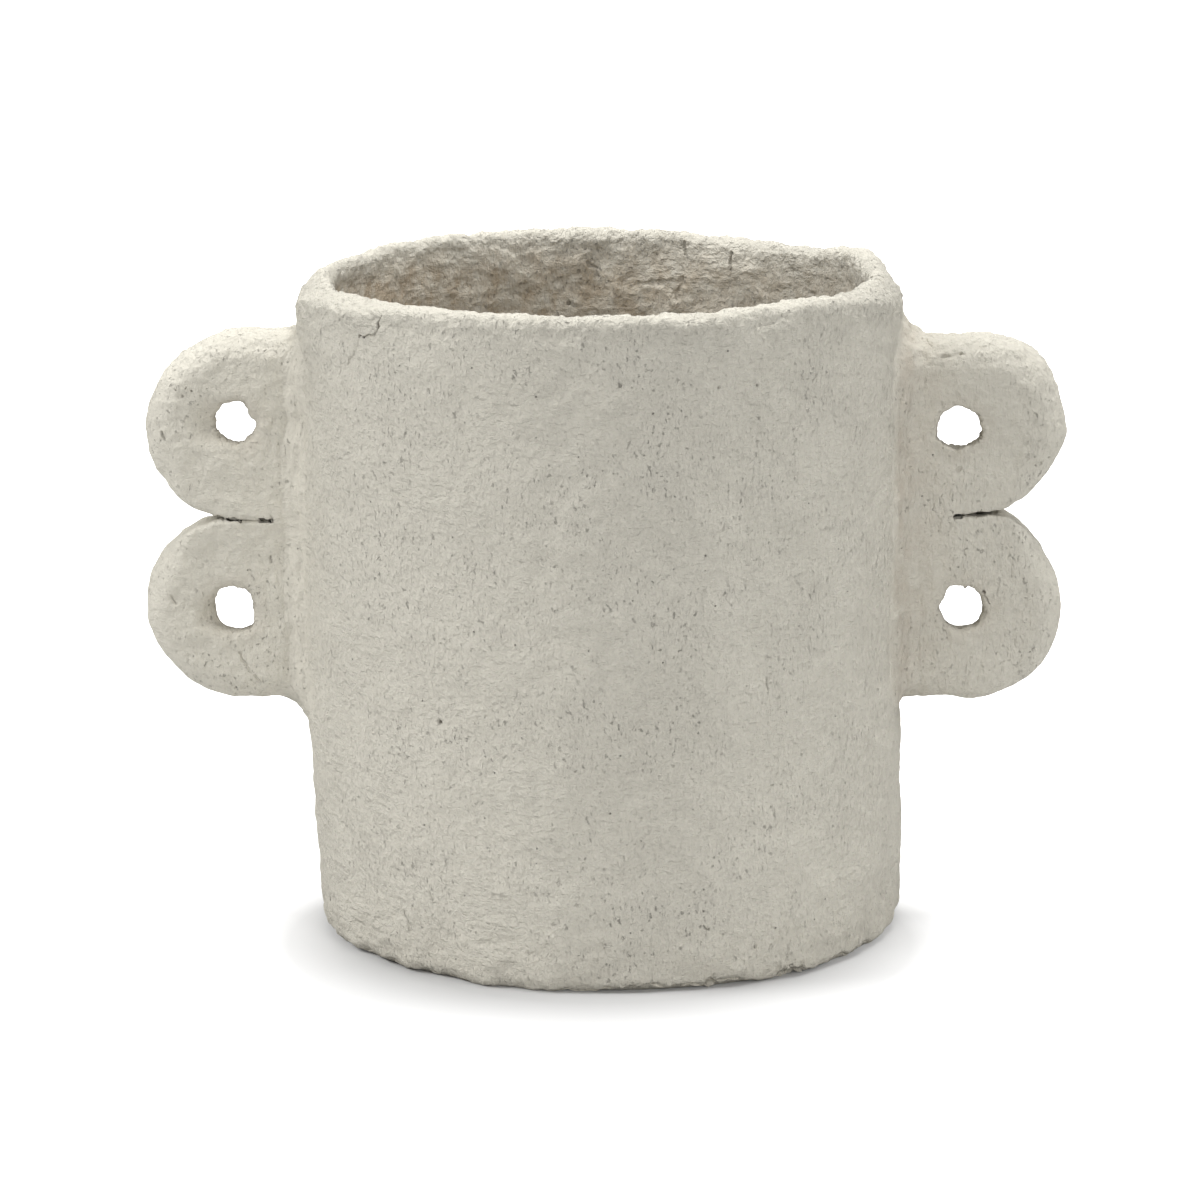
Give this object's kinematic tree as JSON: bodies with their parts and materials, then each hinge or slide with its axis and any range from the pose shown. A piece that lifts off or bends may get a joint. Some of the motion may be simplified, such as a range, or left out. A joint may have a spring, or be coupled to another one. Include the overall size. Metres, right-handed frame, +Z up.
{
  "type": "flower pot",
  "caption": "Round papier-mache flower pot with a thick wall, a soft rounded rim and stacked finger rings standing out from opposite sides.",
  "frame": {"origin": "middle of the foot, on the surface that the pot stands on", "axes": "+Z up along the pot's axis, +X through the pair of rings that is on the right in the picture, +Y away from the viewer"},
  "size_m": [0.458, 0.3, 0.333],
  "materials": {
    "wall_pulp": "dry matt paper pulp, trowelled, pale warm grey",
    "ring_pulp": "dry matt paper pulp, hand pressed, pale warm grey",
    "floor_pulp": "dry rough paper pulp, pale brown grey"
  },
  "bodies": {
    "root": {"pot_wall": "wall_pulp", "floor_disc": "floor_pulp", "rim_band": "wall_pulp", "upper_left_ring": "ring_pulp", "lower_left_ring": "ring_pulp", "upper_right_ring": "ring_pulp", "lower_right_ring": "ring_pulp", "left_root_fillet": "ring_pulp", "right_root_fillet": "ring_pulp"}
  },
  "joints": []
}
